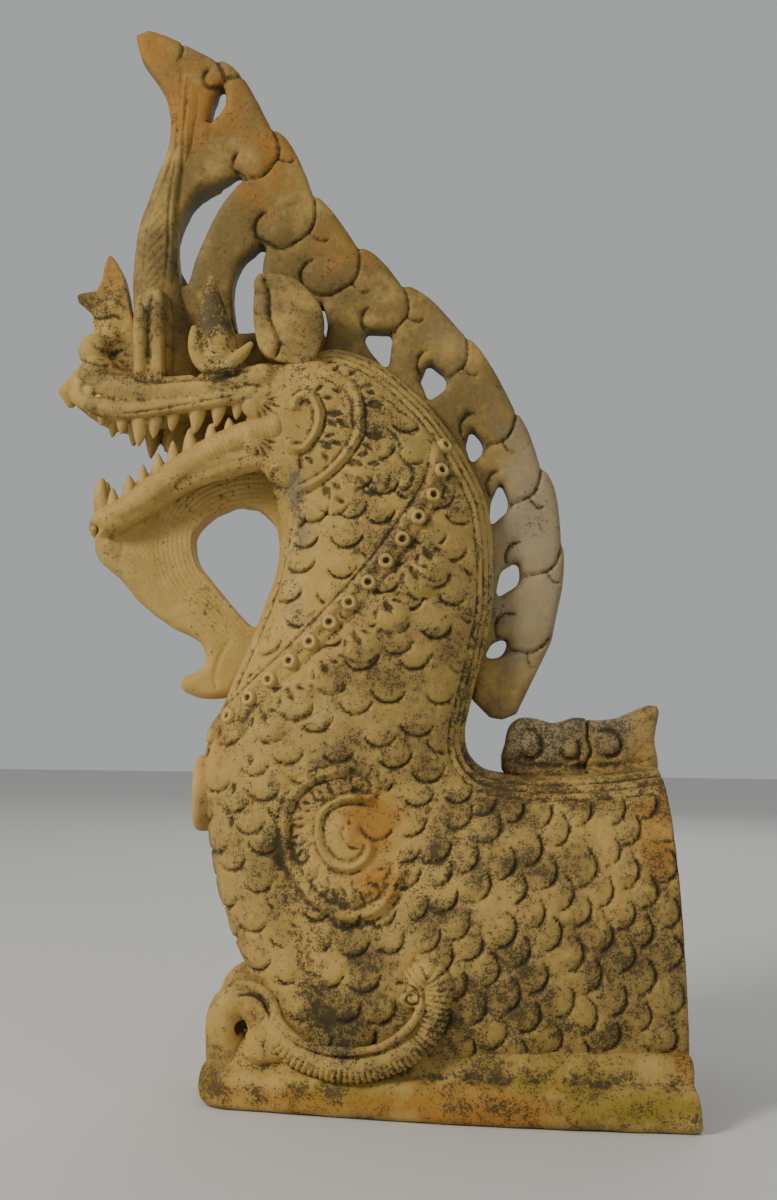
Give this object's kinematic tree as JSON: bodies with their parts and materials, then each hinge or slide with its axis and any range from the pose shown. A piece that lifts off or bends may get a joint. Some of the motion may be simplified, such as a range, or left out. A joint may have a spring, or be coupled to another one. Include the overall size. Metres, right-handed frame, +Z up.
{
  "type": "ridge beast ornament",
  "caption": "Fired-clay roof ridge end ornament: a crested, open-mouthed scaled serpent beast rearing from a slab, with pierced plume crest, beaded collar and low back fin.",
  "frame": {"origin": "centre of the slab's underside", "axes": "+Z up towards the plume tip, +X towards the cut-off rear end (the beast looks along -X), +Y across"},
  "size_m": [0.4147, 0.2, 0.708],
  "materials": {
    "fired_clay": "matte weathered"
  },
  "bodies": {
    "root": {"ridge_beast": "fired_clay"}
  },
  "joints": []
}
